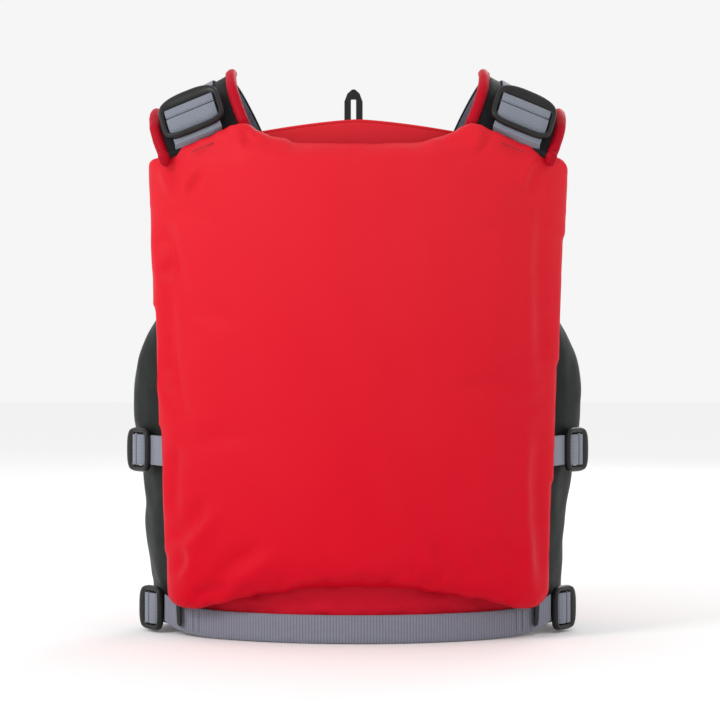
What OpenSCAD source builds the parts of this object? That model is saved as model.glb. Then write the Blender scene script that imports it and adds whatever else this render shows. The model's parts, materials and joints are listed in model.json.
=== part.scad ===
// Adult foam life jacket: a buoyant back panel, two zipped front panels, ladder-lock
// adjusters on the shoulders and sides, and side-release buckles on chest and waist.
// Millimetres. +Z is up, the wearer faces -Y and the wearer's left is +X.
// The origin is on the floor under the middle of the jacket.
// The front is drawn undone: the buckles are apart and the zip's slider is at its foot.

/* [Back panel] */
// Radius of the back panel's outer face, in plan
back_r = 335; // [330:1:345]
// Thickness of the back panel in the middle
back_thick = 40; // [36:1:42]
// Half-width of the back panel at the floor line
back_half_w = 187; // [185:1:188]

/* [Front panels] */
// Thickness of a front panel's foam and fabric
front_thick = 34; // [30:1:36]
// Height of the foot of the V neck
neck_v_z = 380; // [370:1:385]

/* [Webbing] */
// Width of the belt and side webbing
belt_w = 30; // [25:1:30]
// Width of the shoulder webbing
shoulder_web_w = 50; // [45:1:50]
// Thickness of all webbing
web_t = 1.6; // [1.2:0.1:1.8]

/* [Levels] */
// Height of the middle of the waist belt at the sides
waist_z = 24; // [24:1:26]
// Height of the middle of the chest strap
chest_z = 185; // [175:1:195]

/* [Hidden] */
$fn = 48;

red = [0.80, 0.05, 0.10];
dark_red = [0.62, 0.04, 0.08];
webbing_grey = [0.50, 0.51, 0.56];
lining_grey = [0.42, 0.43, 0.48];
charcoal = [0.15, 0.16, 0.16];
black = [0.07, 0.07, 0.07];
foam_white = [0.90, 0.90, 0.86];

fabric_t = 1.2;      // a coated nylon shell with its seam allowance
gap = 0.3;           // air between separate pieces
tall = 700;          // taller than the jacket, for cutting
half_depth = 146;    // from the origin to the buckles' faces, and to the middle of the back

// Plan of the back: each arc is [Y where it crosses the middle, radius]
back_face = [half_depth, back_r];
back_inside = [half_depth - back_thick, 400];
foam_split = [half_depth - back_thick / 2, 367];
belt_arc = [123, 264];
back_flare = 0.045;  // growth of the half-width for each millimetre of height

// Plan of a front panel: flat in the middle, then an arc to the side
buckle_h = 11;
strap_lift = 0.8;    // a strap's clearance from the panel below it
front_y = half_depth - buckle_h - strap_lift - web_t - gap;
bend_x = 55;
bend_r = 170;
bend_y = bend_r - front_y;
bend_a = 62;         // how far round the arc runs before the side panel starts
zip_half_gap = 7;    // from the middle to the edge of a front panel

// ---------- small functions ----------

function unit(v) = v / norm(v);
function mix(a, b, t) = a + (b - a) * t;
function part_of(list, a, b) = [for (i = [a : b]) list[i]];
function mirrored(p) = [for (i = [len(p) - 1 : -1 : 0]) [-p[i][0], p[i][1]]];

// A smooth curve through the points p, with n steps between each pair
function smooth_path(p, n) = [
    for (i = [0 : len(p) - 2])
        let (a = p[max(i - 1, 0)], b = p[i], c = p[i + 1], d = p[min(i + 2, len(p) - 1)])
            for (k = [0 : n - (i == len(p) - 2 ? 0 : 1)])
                let (t = k / n)
                    0.5 * (2 * b + (c - a) * t + (2 * a - 5 * b + 4 * c - d) * t * t
                        + (3 * b - a - 3 * c + d) * t * t * t)
];

// A closed anticlockwise outline moved inwards by d
function inset(p, d) = [
    for (i = [0 : len(p) - 1])
        let (
            a = p[(i + len(p) - 1) % len(p)], b = p[i], c = p[(i + 1) % len(p)],
            n1 = unit([a[1] - b[1], b[0] - a[0]]), n2 = unit([b[1] - c[1], c[0] - b[0]]),
            n = unit(n1 + n2)
        ) b + n * d / max(n * n1, 0.5)
];

// ---------- shared solids ----------

// A closed band: base points p, unit cross directions u, width w, thickness t,
// standing off the base by lift along its outward normal
module ribbon(p, u, w, t, lift = 0) {
    m = len(p);
    tan = [for (i = [0 : m - 1]) unit(p[min(i + 1, m - 1)] - p[max(i - 1, 0)])];
    nor = [for (i = [0 : m - 1]) unit(cross(tan[i], u[i]))];
    pts = [
        for (i = [0 : m - 1])
            for (c = [[-1, 0], [1, 0], [1, 1], [-1, 1]])
                p[i] + u[i] * c[0] * w / 2 + nor[i] * (lift + c[1] * t)
    ];
    sides = [
        for (i = [0 : m - 2]) for (k = [0 : 3])
            let (a = 4 * i + k, b = 4 * i + (k + 1) % 4)
                each [[a, a + 4, b], [b, a + 4, b + 4]]
    ];
    e = 4 * (m - 1);
    ends = [[0, 1, 2], [0, 2, 3], [e, e + 2, e + 1], [e, e + 3, e + 2]];
    polyhedron(points = pts, faces = concat(sides, ends), convexity = 8);
}

// A closed slab between two grids of points, both listed row by row
module slab(outer, inner) {
    r = len(outer);
    c = len(outer[0]);
    pts = [for (g = [outer, inner]) for (row = g) for (q = row) q];
    n = r * c;
    function at(i, j) = i * c + j;
    faces = [
        for (i = [0 : r - 2]) for (j = [0 : c - 2]) each [
            [at(i, j), at(i, j + 1), at(i + 1, j)],
            [at(i, j + 1), at(i + 1, j + 1), at(i + 1, j)],
            [n + at(i, j), n + at(i + 1, j), n + at(i, j + 1)],
            [n + at(i, j + 1), n + at(i + 1, j), n + at(i + 1, j + 1)],
        ]
    ];
    rim = concat(
        [for (j = [0 : c - 1]) at(0, j)],
        [for (i = [1 : r - 1]) at(i, c - 1)],
        [for (j = [c - 2 : -1 : 0]) at(r - 1, j)],
        [for (i = [r - 2 : -1 : 1]) at(i, 0)]
    );
    walls = [
        for (k = [0 : len(rim) - 1])
            let (a = rim[k], b = rim[(k + 1) % len(rim)])
                each [[a, n + a, b], [b, n + a, n + b]]
    ];
    polyhedron(points = pts, faces = concat(faces, walls), convexity = 8);
}

// An elevation outline, drawn in X and Z, extruded from front to back
module elevation(p) {
    translate([0, tall / 2, 0]) rotate([90, 0, 0]) linear_extrude(tall) polygon(p);
}

// A curved wall of the back, between an outer and an inner arc
module back_wall(outer, inner) {
    translate([0, 0, -1]) difference() {
        arc_disc(outer, tall);
        translate([0, 0, -1]) arc_disc(inner, tall + 2);
        translate([-tall, -2 * tall, -1]) cube([2 * tall, 2 * tall, tall + 2]);
    }
}
module arc_disc(arc, h) {
    translate([0, arc[0] - arc[1], 0]) cylinder(r = arc[1], h = h, $fn = 180);
}
function shrunk(arc, d) = [arc[0] - d, arc[1] - d];
function arc_y(arc, x) = arc[0] - arc[1] + sqrt(arc[1] * arc[1] - x * x);

module left_or_right(side) {
    if (side > 0) children();
    else mirror([1, 0, 0]) children();
}

// Places a flat part, drawn with its length along Y and its face towards +Z, so that
// its length runs along t and its width along u
module laid(at, t, u) {
    n = unit(cross(t, u));
    v = unit(cross(t, n));
    multmatrix([
        [v[0], t[0], n[0], at[0]],
        [v[1], t[1], n[1], at[1]],
        [v[2], t[2], n[2], at[2]],
        [0, 0, 0, 1],
    ]) children();
}

// ---------- back ----------

arch_top_z = 59;
arch_half_w = 160;
arch_foot_z = 33;
function arch_z(x) = arch_top_z - (arch_top_z - arch_foot_z) * pow(x / arch_half_w, 2);
function back_x(z) = back_half_w + back_flare * z;
shoulder_in = [122, 503.5];     // inner end of the seam under a shoulder pad
shoulder_out = [194, 471.5];    // its outer end

back_half = concat(
    [for (x = [0 : 32 : arch_half_w]) [x, arch_z(x)]],
    [[173, 33], [182, 37], [back_x(50), 50]],
    [for (z = [120 : 110 : 450]) [back_x(z), z]],
    [[206, 466], shoulder_out, shoulder_in],
    smooth_path([[112, 504], [92, 499], [60, 491], [20, 488]], 2)
);
back_outline = concat(back_half, mirrored([for (i = [1 : len(back_half) - 1]) back_half[i]]));

module back_shell() {
    color(red) difference() {
        intersection() {
            elevation(back_outline);
            back_wall(back_face, back_inside);
        }
        intersection() {
            elevation(inset(back_outline, fabric_t));
            back_wall(shrunk(back_face, fabric_t), shrunk(back_inside, 5));
        }
    }
}

module back_lining() {
    color(lining_grey) intersection() {
        elevation(back_outline);
        back_wall(shrunk(back_inside, gap), shrunk(back_inside, gap + fabric_t));
    }
}

// Two layers of foam, loose inside the shell
module back_foam() {
    color(foam_white) for (layer = [
        [shrunk(back_face, fabric_t + gap), shrunk(foam_split, -gap)],
        [foam_split, shrunk(back_inside, -gap)],
    ]) intersection() {
        elevation(inset(back_outline, fabric_t + gap));
        back_wall(layer[0], layer[1]);
    }
}

skirt_half_w = 184;
skirt_t = 2;
skirt_half = concat(
    [for (x = [0 : 32 : arch_half_w]) [x, arch_z(x) - gap]],
    [[173, 30], [skirt_half_w, 30], [skirt_half_w, 3], [0, 2]]
);
module back_skirt() {
    color(dark_red) intersection() {
        elevation(concat(skirt_half, mirrored(part_of(skirt_half, 1, len(skirt_half) - 2))));
        back_wall(shrunk(belt_arc, gap), shrunk(belt_arc, gap + skirt_t));
    }
}

yoke_half_w = 98;
yoke_top_z = 514;
yoke_half = concat(
    [for (k = [0 : 6]) [k / 6 * yoke_half_w, yoke_top_z - 9 * pow(k / 6, 2)]],
    [[yoke_half_w, 470]]
);
module neck_yoke() {
    color(red) intersection() {
        elevation(concat(yoke_half, mirrored(part_of(yoke_half, 1, len(yoke_half) - 1))));
        back_wall(shrunk(back_inside, 2), shrunk(back_inside, 4));
    }
}

loop_x = 4;                   // the loop is sewn a little to the wearer's left
loop_y = back_inside[0] - 4.5;
loop_half_w = 9;
loop_slot_w = 5;
module hang_loop() {
    color(black) translate([loop_x, loop_y, 0]) rotate([90, 0, 0]) linear_extrude(2) difference() {
        polygon([
            [-loop_half_w, 494], [loop_half_w, 494], [loop_half_w, 530], [6, 538], [1.5, 542],
            [-1.5, 542], [-6, 538], [-loop_half_w, 530],
        ]);
        translate([-loop_slot_w / 2, 498]) square([loop_slot_w, 34]);
    }
}

// The belt runs round the back and climbs a little to the waist locks
belt_end_a = 46.5;
function belt_point(a) =
    [belt_arc[1] * sin(a), belt_arc[0] - belt_arc[1] * (1 - cos(a)),
        mix(belt_w / 2, waist_z, pow(abs(a) / belt_end_a, 12))];
module waist_belt_back() {
    belt = [for (a = [-belt_end_a : belt_end_a / 20 : belt_end_a]) belt_point(a)];
    color(webbing_grey) ribbon(belt, [for (q = belt) [0, 0, 1]], belt_w, web_t, -web_t);
}

// ---------- shoulders ----------

// Middle line of a shoulder pad's top face, from the back panel over to the front
shoulder_line = smooth_path([
    [152.5, 101, 492], [160, 93, 511], [165, 80, 528], [167, 54, 543], [165, 18, 547],
    [157, -22, 538], [144, -60, 514.5], [130, -90, 483.5], [119, -102, 457.5],
], 6);
last_i = len(shoulder_line) - 1;
crest_i = 22;                 // the step where the black pad gives way to the strap
slope = 33;                   // the shoulders fall away towards the arms
function across(i) = let (f = slope * (1 - 0.4 * i / last_i)) [cos(f), 0, -sin(f)];
cross_line = [for (i = [0 : last_i]) across(i)];
pad_w = 78;
pad_t = 6;
binding_w = 11;

module shoulder_strip(a, b, w, t, lift) {
    ribbon(part_of(shoulder_line, a, b), part_of(cross_line, a, b), w, t, lift);
}

module shoulder_pad(side) {
    color(black) left_or_right(side) shoulder_strip(2, crest_i, pad_w, pad_t, -pad_t);
}

// The strap that carries the pad on over the shoulder to the front panel
module shoulder_strap(side) {
    color(lining_grey) left_or_right(side) shoulder_strip(crest_i + 1, last_i, pad_w, pad_t, -pad_t);
}

// Red edge binding, one strip along each side of the back's pad
module shoulder_binding(side) {
    line = part_of(shoulder_line, 1, crest_i);
    u = part_of(cross_line, 1, crest_i);
    color(red) left_or_right(side) for (s = [-1, 1]) {
        offset_w = s * (pad_w / 2 + gap + binding_w / 2);
        edge = [for (i = [0 : len(line) - 1]) line[i] + u[i] * offset_w];
        ribbon(edge, u, binding_w, pad_t + 3, -pad_t - 1);
    }
}

// ---------- ladder locks ----------

// One adjuster: a moulded frame with two side rails, a thumb tab at +Y, two middle bars
// for the webbing and a round anchor bar at -Y, about which it tilts. Its width is along
// X, and it lies on the plane Z = 0.
lock_rail = 7;
lock_h = 6.5;
lock_tab_l = 6;
anchor_bar_r = 2.2;
weave_bar_r = 1.3;
function lock_w(web) = web + 2 * lock_rail + 1.5;
function lock_l(web) = 25.4 + web * 0.42;
function anchor_y(web) = -lock_l(web) / 2 + anchor_bar_r + 1;
module ladder_lock(web) {
    w = lock_w(web);
    l = lock_l(web);
    opening = web + 1.5;
    module bar(y, r) {
        translate([-opening / 2 - 1, y, lock_h / 2]) rotate([0, 90, 0]) cylinder(r = r, h = opening + 2);
    }
    color(black) {
        difference() {
            linear_extrude(lock_h) difference() {
                translate([-w / 2, -l / 2]) square([w, l]);
                translate([-opening / 2, -l / 2 - 1]) square([opening, l + 1 - lock_tab_l]);
                for (sx = [-1, 1]) translate([sx * w / 2, l / 2]) rotate(45) square(8, center = true);
            }
            // the thumb tab is raised so that webbing passes below it
            translate([-opening / 2, l / 2 - lock_tab_l - 1, -1]) cube([opening, lock_tab_l + 2, 3]);
        }
        bar(anchor_y(web), anchor_bar_r);
        bar(-2.6, weave_bar_r);
        bar(5, weave_bar_r);
    }
}

// The webbing that wraps over the lock's two middle bars, as one closed strip
weave_t = 1.2;
module lock_weave(web) {
    l = lock_l(web);
    wave = smooth_path([
        [anchor_y(web) + 3.2, 1.4], [-6.5, 4.6], [-2.6, 5.5], [1.2, 5.1], [5, 5.5], [8.4, 3.6],
        [l / 2 - lock_tab_l - 1.6, 0.9], [l / 2 - 1, 0.9],
    ], 3);
    p = [for (q = wave) [0, q[0], q[1]]];
    color(webbing_grey) ribbon(p, [for (q = p) [-1, 0, 0]], web, weave_t, -weave_t / 2);
}

// Where the shoulder locks lie
lock_i = 8;
lock_tan = unit(shoulder_line[lock_i + 3] - shoulder_line[lock_i - 3]);
lock_u = unit(across(lock_i) - lock_tan * (across(lock_i) * lock_tan));
lock_n = unit(cross(lock_tan, lock_u));
shoulder_lock_at = shoulder_line[lock_i] + lock_n * (web_t + 2.4) - lock_tan * 1.5;
module at_shoulder_lock(side) {
    left_or_right(side) laid(shoulder_lock_at, lock_tan, lock_u) children();
}
module shoulder_ladderlock(side) { at_shoulder_lock(side) ladder_lock(shoulder_web_w); }
module shoulder_weave(side) { at_shoulder_lock(side) lock_weave(shoulder_web_w); }

// Lower webbing: sewn under the back panel's edge, it rises to the lock's anchor bar
module shoulder_anchor_web(side) {
    end = shoulder_lock_at + lock_tan * (anchor_y(shoulder_web_w) - anchor_bar_r - 1.8) + lock_n * 1.2;
    start = shoulder_line[1] + lock_n * 1.3;
    p = [start, mix(start, end, 0.5), end];
    color(webbing_grey) left_or_right(side) ribbon(p, [for (q = p) lock_u], shoulder_web_w, web_t);
}

// Upper webbing: from the lock over the crest, sewn to the strap in front
web_start_i = 15;
module shoulder_web(side) {
    color(webbing_grey) left_or_right(side)
        shoulder_strip(web_start_i, last_i - 4, shoulder_web_w, web_t, gap);
}

// ---------- sides ----------

side_top_z = 320;
side_bottom_z = 3;
side_t = 3;
bow_z = 242;                  // the side panel bows out most here
function side_bow(z) = z > bow_z ? 232 - 26 * pow((z - bow_z) / 78, 2)
    : 211 + 21 * exp(-pow((z - bow_z) / 100, 2));

// The side panel's outer face at a height: from the back panel's edge to the front's
side_steps = 5;
function side_curve(z) =
    let (
        back = [back_x(z) - 2, arc_y(back_inside, back_x(z)) - 16.5],
        wide = [side_bow(z), -6],
        front = [bend_x + bend_r * sin(bend_a) + 0.5, bend_y - bend_r * cos(bend_a) + 3]
    ) smooth_path([back, [mix(back[0], wide[0], 0.55), 25], wide, front], side_steps);
function raised(path, z) = [for (q = path) [q[0], q[1], z]];
module side_panel(side) {
    levels = [for (k = [0 : 10]) mix(side_bottom_z, side_top_z, k / 10)];
    color(charcoal) left_or_right(side) slab(
        [for (z = levels) raised(side_curve(z), z)],
        [for (z = levels) [for (q = side_curve(z)) [q[0] - side_t, q[1], z]]]
    );
}

// A strap starts on the side panel's front half and runs round the front panel
strap_middle_x = 34;          // where the straps stop, short of the buckle halves
side_lift = 2.2;              // more clearance where the panel is bowed
module front_strap(z) {
    side = [for (q = part_of(side_curve(z), 12, 14)) [q[0] + side_lift, q[1]]];
    round = [for (a = [bend_a - 0.5 : -6 : 0])
        [bend_x + (bend_r + strap_lift) * sin(a), bend_y - (bend_r + strap_lift) * cos(a)]];
    p = raised(concat(side, round, [[strap_middle_x, -front_y - strap_lift]]), z);
    color(webbing_grey) ribbon(p, [for (q = p) [0, 0, 1]], belt_w, web_t, -web_t);
}
module chest_strap(side) { left_or_right(side) front_strap(chest_z); }
module waist_strap(side) { left_or_right(side) front_strap(waist_z); }

// A side lock lies on the side panel's back half, with its anchor bar to the rear
lock_lean = 54;               // from the back's plane towards the side
side_lock_t = [cos(lock_lean), -sin(lock_lean), 0];
side_lock_n = [sin(lock_lean), cos(lock_lean), 0];
function side_lock_at(z) =
    let (c = side_curve(z)) [c[6][0], c[6][1], z] + side_lock_n * 4.4;
module at_side_lock(side, z) {
    left_or_right(side) laid(side_lock_at(z), side_lock_t, [0, 0, -1]) children();
}
module chest_ladderlock(side) { at_side_lock(side, chest_z) ladder_lock(belt_w); }
module waist_ladderlock(side) { at_side_lock(side, waist_z) ladder_lock(belt_w); }
module chest_weave(side) { at_side_lock(side, chest_z) lock_weave(belt_w); }
module waist_weave(side) { at_side_lock(side, waist_z) lock_weave(belt_w); }

// Webbing from under the back panel's edge to the chest-level lock
module chest_anchor_web(side) {
    end = side_lock_at(chest_z) + side_lock_t * (anchor_y(belt_w) - anchor_bar_r - 0.6);
    start = [back_x(chest_z) + 1.5, 64, chest_z];
    p = [start, mix(start, end, 0.5), end];
    color(webbing_grey) left_or_right(side) ribbon(p, [for (q = p) [0, 0, 1]], belt_w, web_t, -web_t);
}

// ---------- front panels ----------

front_half = concat(
    [[zip_half_gap, 0], [180, 0], [200, 10], [212, 26], [212, 296]],
    smooth_path([[200, 310], [172, 334], [152, 366], [146, 405], [150, 444]], 3),
    [[90, 461]],
    smooth_path([[84, 455], [68, 428], [44, 400], [18, neck_v_z + 2]], 3),
    [[zip_half_gap, neck_v_z]]
);

// The layer of a front panel between two depths from its outer face
module front_layer(p, d0, d1, a = bend_a) {
    intersection() {
        elevation(p);
        translate([0, 0, -1]) linear_extrude(tall) {
            translate([0, d0 - front_y]) square([bend_x + 0.01, d1 - d0]);
            translate([bend_x, bend_y]) intersection() {
                difference() {
                    circle(r = bend_r - d0, $fn = 180);
                    circle(r = bend_r - d1, $fn = 180);
                }
                polygon([[0, 0], [0, -tall], [tall, -tall], [tall, -tall / tan(a)]]);
            }
        }
    }
}

module front_shell(side) {
    end_inset = 0.5;          // degrees of arc, for the fabric's thickness
    color(red) left_or_right(side) difference() {
        front_layer(front_half, 0, front_thick);
        front_layer(inset(front_half, fabric_t), fabric_t, front_thick + 3, bend_a - end_inset);
    }
}

module front_lining(side) {
    color(lining_grey) left_or_right(side)
        front_layer(inset(front_half, fabric_t), front_thick + gap, front_thick + gap + fabric_t);
}

// Two layers of foam, loose inside the shell
module front_foam(side) {
    cut = inset(front_half, fabric_t + gap);
    middle = front_thick / 2;
    color(foam_white) left_or_right(side) {
        front_layer(cut, fabric_t + gap, middle - gap, bend_a - 1);
        front_layer(cut, middle, front_thick - gap, bend_a - 1);
    }
}

// ---------- zip ----------

zip_y = -121;
zip_foot_z = 59;              // the slider's lower end when the zip is undone
zip_head_z = neck_v_z - 4;
slider_l = 12;
slider_half_w = 6.5;
tape_t = 1;
tape_inner_x = 3.4;
teeth_inner_x = 1.4;
teeth_t = 3;
tooth_pitch = 12;
tooth_tip = 0.4;
module zip_tape(side) {
    foot = side > 0 ? zip_foot_z - 7 : zip_foot_z + slider_l + 2;
    color(black) left_or_right(side) translate([tape_inner_x, zip_y, foot])
        cube([zip_half_gap - tape_inner_x, tape_t, zip_head_z - foot]);
}

// A moulded row of teeth on the tape's edge
module zip_teeth(side) {
    foot = zip_foot_z + slider_l + 3;
    color(black) left_or_right(side) translate([0, zip_y + (tape_t - teeth_t) / 2, 0]) {
        translate([teeth_inner_x, 0, foot]) cube([tape_inner_x - teeth_inner_x, teeth_t, zip_head_z - 2 - foot]);
        for (z = [foot + 3 : tooth_pitch : zip_head_z - tooth_pitch])
            translate([teeth_inner_x - tooth_tip, 0.4, z]) cube([tooth_tip + 0.1, teeth_t - 0.8, tooth_pitch / 2]);
    }
}

// The slider: two plates joined by a wedge that runs between the rows of teeth
zip_mid_y = zip_y + tape_t / 2;
pull_pin_y = zip_mid_y - 5.8;
pull_pin_z = zip_foot_z + 9;
pull_pin_r = 0.7;
module zip_slider() {
    channel = teeth_t + 1.2;
    color(black) {
        translate([0, zip_mid_y, zip_foot_z]) difference() {
            translate([-slider_half_w, -4, 0]) cube([2 * slider_half_w, 8, slider_l]);
            for (s = [-1, 1]) {
                translate([s * 4.2 - 3.4, -0.9, -1]) cube([6.8, 1.8, slider_l + 2]);
                translate([s * 2.45 - 1.75, -channel / 2, -1]) cube([3.5, channel, slider_l + 2]);
            }
        }
        // the lug that holds the pull's pin
        translate([-1.2, pull_pin_y - 1.6, pull_pin_z - 3]) difference() {
            cube([2.4, 3.7, 6]);
            translate([-1, 1.6, 3]) rotate([0, 90, 0]) cylinder(r = pull_pin_r + 0.08, h = 5);
        }
    }
}

// The pull: a flat tab with a yoke of two arms and a pin at its top
pull_l = 20;
pull_half_w = 3;
pull_t = 1.4;
module zip_pull() {
    arm_top = pull_pin_z + pull_pin_r;
    color(black) {
        translate([-pull_half_w, pull_pin_y - pull_t / 2, pull_pin_z - pull_l])
            cube([2 * pull_half_w, pull_t, pull_l - 4.5]);
        for (s = [-1, 1]) translate([s * 2.4 - 0.6, pull_pin_y - pull_t / 2, pull_pin_z - 5])
            cube([1.2, pull_t, arm_top - pull_pin_z + 5]);
        translate([-pull_half_w, pull_pin_y, pull_pin_z]) rotate([0, 90, 0])
            cylinder(r = pull_pin_r, h = 2 * pull_half_w);
    }
}

// ---------- side-release buckles ----------

// The socket and plug lie flat against the front, along X, with the plug at -X.
// Both are drawn in X (length), Y (width) and Z (height above the strap), and each
// from its own end of the gap between them.
socket_w = 41;
socket_l = 45;
socket_wall = 2.2;
plug_gap = 8;                 // between the plug's tips and the socket when undone
buckle_y = -half_depth + buckle_h;
module socket_at(z) { translate([plug_gap / 2, buckle_y, z]) rotate([90, 0, 0]) children(); }
module plug_at(z) { translate([-plug_gap / 2, buckle_y, z]) rotate([90, 0, 0]) children(); }

web_slot_w = belt_w + 1.6;
socket_room = 32;             // depth of the space that takes the prongs
module buckle_socket() {
    side_wall = 5;
    color(black) difference() {
        translate([0, -socket_w / 2, 0]) cube([socket_l, socket_w, buckle_h]);
        translate([-1, -socket_w / 2 + side_wall, socket_wall])
            cube([socket_room + 1, socket_w - 2 * side_wall, buckle_h - 2 * socket_wall]);
        // side windows, where the prongs' catches sit and are pressed
        for (s = [-1, 1])
            translate([15, s * (socket_w / 2 - side_wall / 2) - 4, socket_wall])
                cube([14, 8, buckle_h - 2 * socket_wall]);
        // slot for the webbing that holds the socket
        translate([socket_l - 7, -web_slot_w / 2, -1]) cube([4, web_slot_w, buckle_h + 2]);
    }
}

// The plug's body, with two webbing slots and a middle guide tongue
plug_body_l = 25;
prong_l = 32;
plug_end_x = -prong_l - plug_body_l;
module buckle_plug() {
    color(black) {
        difference() {
            translate([plug_end_x, -socket_w / 2, 2]) cube([plug_body_l, socket_w, buckle_h - 4]);
            for (x = [4, 14]) translate([plug_end_x + x, -web_slot_w / 2, 1])
                cube([5, web_slot_w, buckle_h]);
        }
        translate([-prong_l - 0.5, -2, 3.2]) cube([prong_l - 6, 4, buckle_h - 6.4]);
    }
}

// One sprung prong, drawn on the +Y side and as it lies when squeezed in. It bends
// outwards about a root at the plug's body.
prong_root_y = 11.5;
prong_root_x = -prong_l + 1.8;
module buckle_prong() {
    color(black) translate([0, 0, 3]) {
        translate([prong_root_x, prong_root_y, 0]) cylinder(r = 1.5, h = buckle_h - 6);
        translate([prong_root_x, prong_root_y - 1.5, 0]) cube([-prong_root_x - 4, 3, buckle_h - 6]);
        translate([-12, prong_root_y - 1.5, 0]) cube([11, 4, buckle_h - 6]);
    }
}

// The strap's end, up through one of the plug's slots, down through the other and
// back along the strap
tail_l = 45;
module strap_tail() {
    x0 = plug_end_x;
    wave = smooth_path([
        [x0 + 16.9, 1], [x0 + 16.9, 6.5], [x0 + 14.8, 9.9], [x0 + 11.5, 10.2], [x0 + 8.2, 9.9],
        [x0 + 6.3, 6.5], [x0 + 6, 2], [x0 + 2, 0.9], [x0 - 10, 0.9], [x0 - tail_l, 0.9],
    ], 4);
    p = [for (q = wave) [q[0], 0, q[1]]];
    color(webbing_grey) ribbon(p, [for (q = p) [0, 1, 0]], belt_w, weave_t, -weave_t / 2);
}

module chest_buckle_socket() { socket_at(chest_z) buckle_socket(); }
module waist_buckle_socket() { socket_at(waist_z) buckle_socket(); }
module chest_buckle_plug() { plug_at(chest_z) buckle_plug(); }
module waist_buckle_plug() { plug_at(waist_z) buckle_plug(); }
module upright(up) {
    if (up > 0) children();
    else mirror([0, 1, 0]) children();
}
module chest_prong(up) { plug_at(chest_z) upright(up) buckle_prong(); }
module waist_prong(up) { plug_at(waist_z) upright(up) buckle_prong(); }
module chest_strap_tail() { plug_at(chest_z) strap_tail(); }
module waist_strap_tail() { plug_at(waist_z) strap_tail(); }

// ---------- nodes ----------

back_shell();
back_lining();
back_foam();
back_skirt();
neck_yoke();
hang_loop();
waist_belt_back();
shoulder_pad(1);  // shoulder_pad_left
shoulder_pad(-1);  // shoulder_pad_right
shoulder_binding(1);  // shoulder_binding_left
shoulder_binding(-1);  // shoulder_binding_right
shoulder_anchor_web(1);  // shoulder_anchor_web_left
shoulder_anchor_web(-1);  // shoulder_anchor_web_right
shoulder_ladderlock(1);  // shoulder_ladderlock_left
shoulder_ladderlock(-1);  // shoulder_ladderlock_right
shoulder_weave(1);  // shoulder_weave_left
shoulder_weave(-1);  // shoulder_weave_right
shoulder_strap(1);  // shoulder_strap_left
shoulder_strap(-1);  // shoulder_strap_right
shoulder_web(1);  // shoulder_web_left
shoulder_web(-1);  // shoulder_web_right
side_panel(1);  // side_panel_left
side_panel(-1);  // side_panel_right
front_shell(1);  // front_shell_left
front_shell(-1);  // front_shell_right
front_lining(1);  // front_lining_left
front_lining(-1);  // front_lining_right
front_foam(1);  // front_foam_left
front_foam(-1);  // front_foam_right
chest_ladderlock(1);  // chest_ladderlock_left
chest_ladderlock(-1);  // chest_ladderlock_right
waist_ladderlock(1);  // waist_ladderlock_left
waist_ladderlock(-1);  // waist_ladderlock_right
chest_weave(1);  // chest_weave_left
chest_weave(-1);  // chest_weave_right
waist_weave(1);  // waist_weave_left
waist_weave(-1);  // waist_weave_right
chest_anchor_web(1);  // chest_anchor_web_left
chest_anchor_web(-1);  // chest_anchor_web_right
chest_strap(1);  // chest_strap_left
chest_strap(-1);  // chest_strap_right
waist_strap(1);  // waist_strap_left
waist_strap(-1);  // waist_strap_right
chest_buckle_socket();
waist_buckle_socket();
chest_buckle_plug();
waist_buckle_plug();
chest_prong(1);  // chest_prong_upper
chest_prong(-1);  // chest_prong_lower
waist_prong(1);  // waist_prong_upper
waist_prong(-1);  // waist_prong_lower
chest_strap_tail();
waist_strap_tail();
zip_tape(1);  // zip_tape_left
zip_tape(-1);  // zip_tape_right
zip_teeth(1);  // zip_teeth_left
zip_teeth(-1);  // zip_teeth_right
zip_slider();
zip_pull();
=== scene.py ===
import json
import math

import bmesh
import bpy
import numpy as np
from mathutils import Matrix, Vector, noise
from mathutils.geometry import delaunay_2d_cdt


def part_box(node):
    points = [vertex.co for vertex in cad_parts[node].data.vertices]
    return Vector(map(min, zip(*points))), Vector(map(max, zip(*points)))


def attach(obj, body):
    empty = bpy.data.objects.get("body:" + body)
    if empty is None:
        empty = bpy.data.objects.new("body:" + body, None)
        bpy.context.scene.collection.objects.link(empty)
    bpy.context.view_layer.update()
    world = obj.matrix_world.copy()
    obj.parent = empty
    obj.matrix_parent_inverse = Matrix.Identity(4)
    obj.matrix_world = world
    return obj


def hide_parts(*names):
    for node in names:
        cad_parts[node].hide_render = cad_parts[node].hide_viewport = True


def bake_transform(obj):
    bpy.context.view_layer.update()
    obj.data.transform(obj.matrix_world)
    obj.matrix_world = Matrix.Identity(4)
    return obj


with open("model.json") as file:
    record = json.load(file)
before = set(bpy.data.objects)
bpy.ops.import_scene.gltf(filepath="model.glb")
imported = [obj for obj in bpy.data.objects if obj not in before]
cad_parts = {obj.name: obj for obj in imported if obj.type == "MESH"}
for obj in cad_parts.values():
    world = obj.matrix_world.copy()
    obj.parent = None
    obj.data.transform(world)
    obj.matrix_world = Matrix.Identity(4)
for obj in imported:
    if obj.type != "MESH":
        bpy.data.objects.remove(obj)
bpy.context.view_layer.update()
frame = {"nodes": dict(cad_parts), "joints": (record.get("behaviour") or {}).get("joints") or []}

MM = 0.001
UP = np.array([0.0, 0.0, 1.0])
SIDES = (("left", 1), ("right", -1))


def box(node):
    """A CAD node's lowest and highest corners, in millimetres."""
    low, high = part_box(node)
    return np.array(low) / MM, np.array(high) / MM


# ---------------------------------------------------------------- sizes, as in the CAD

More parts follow.
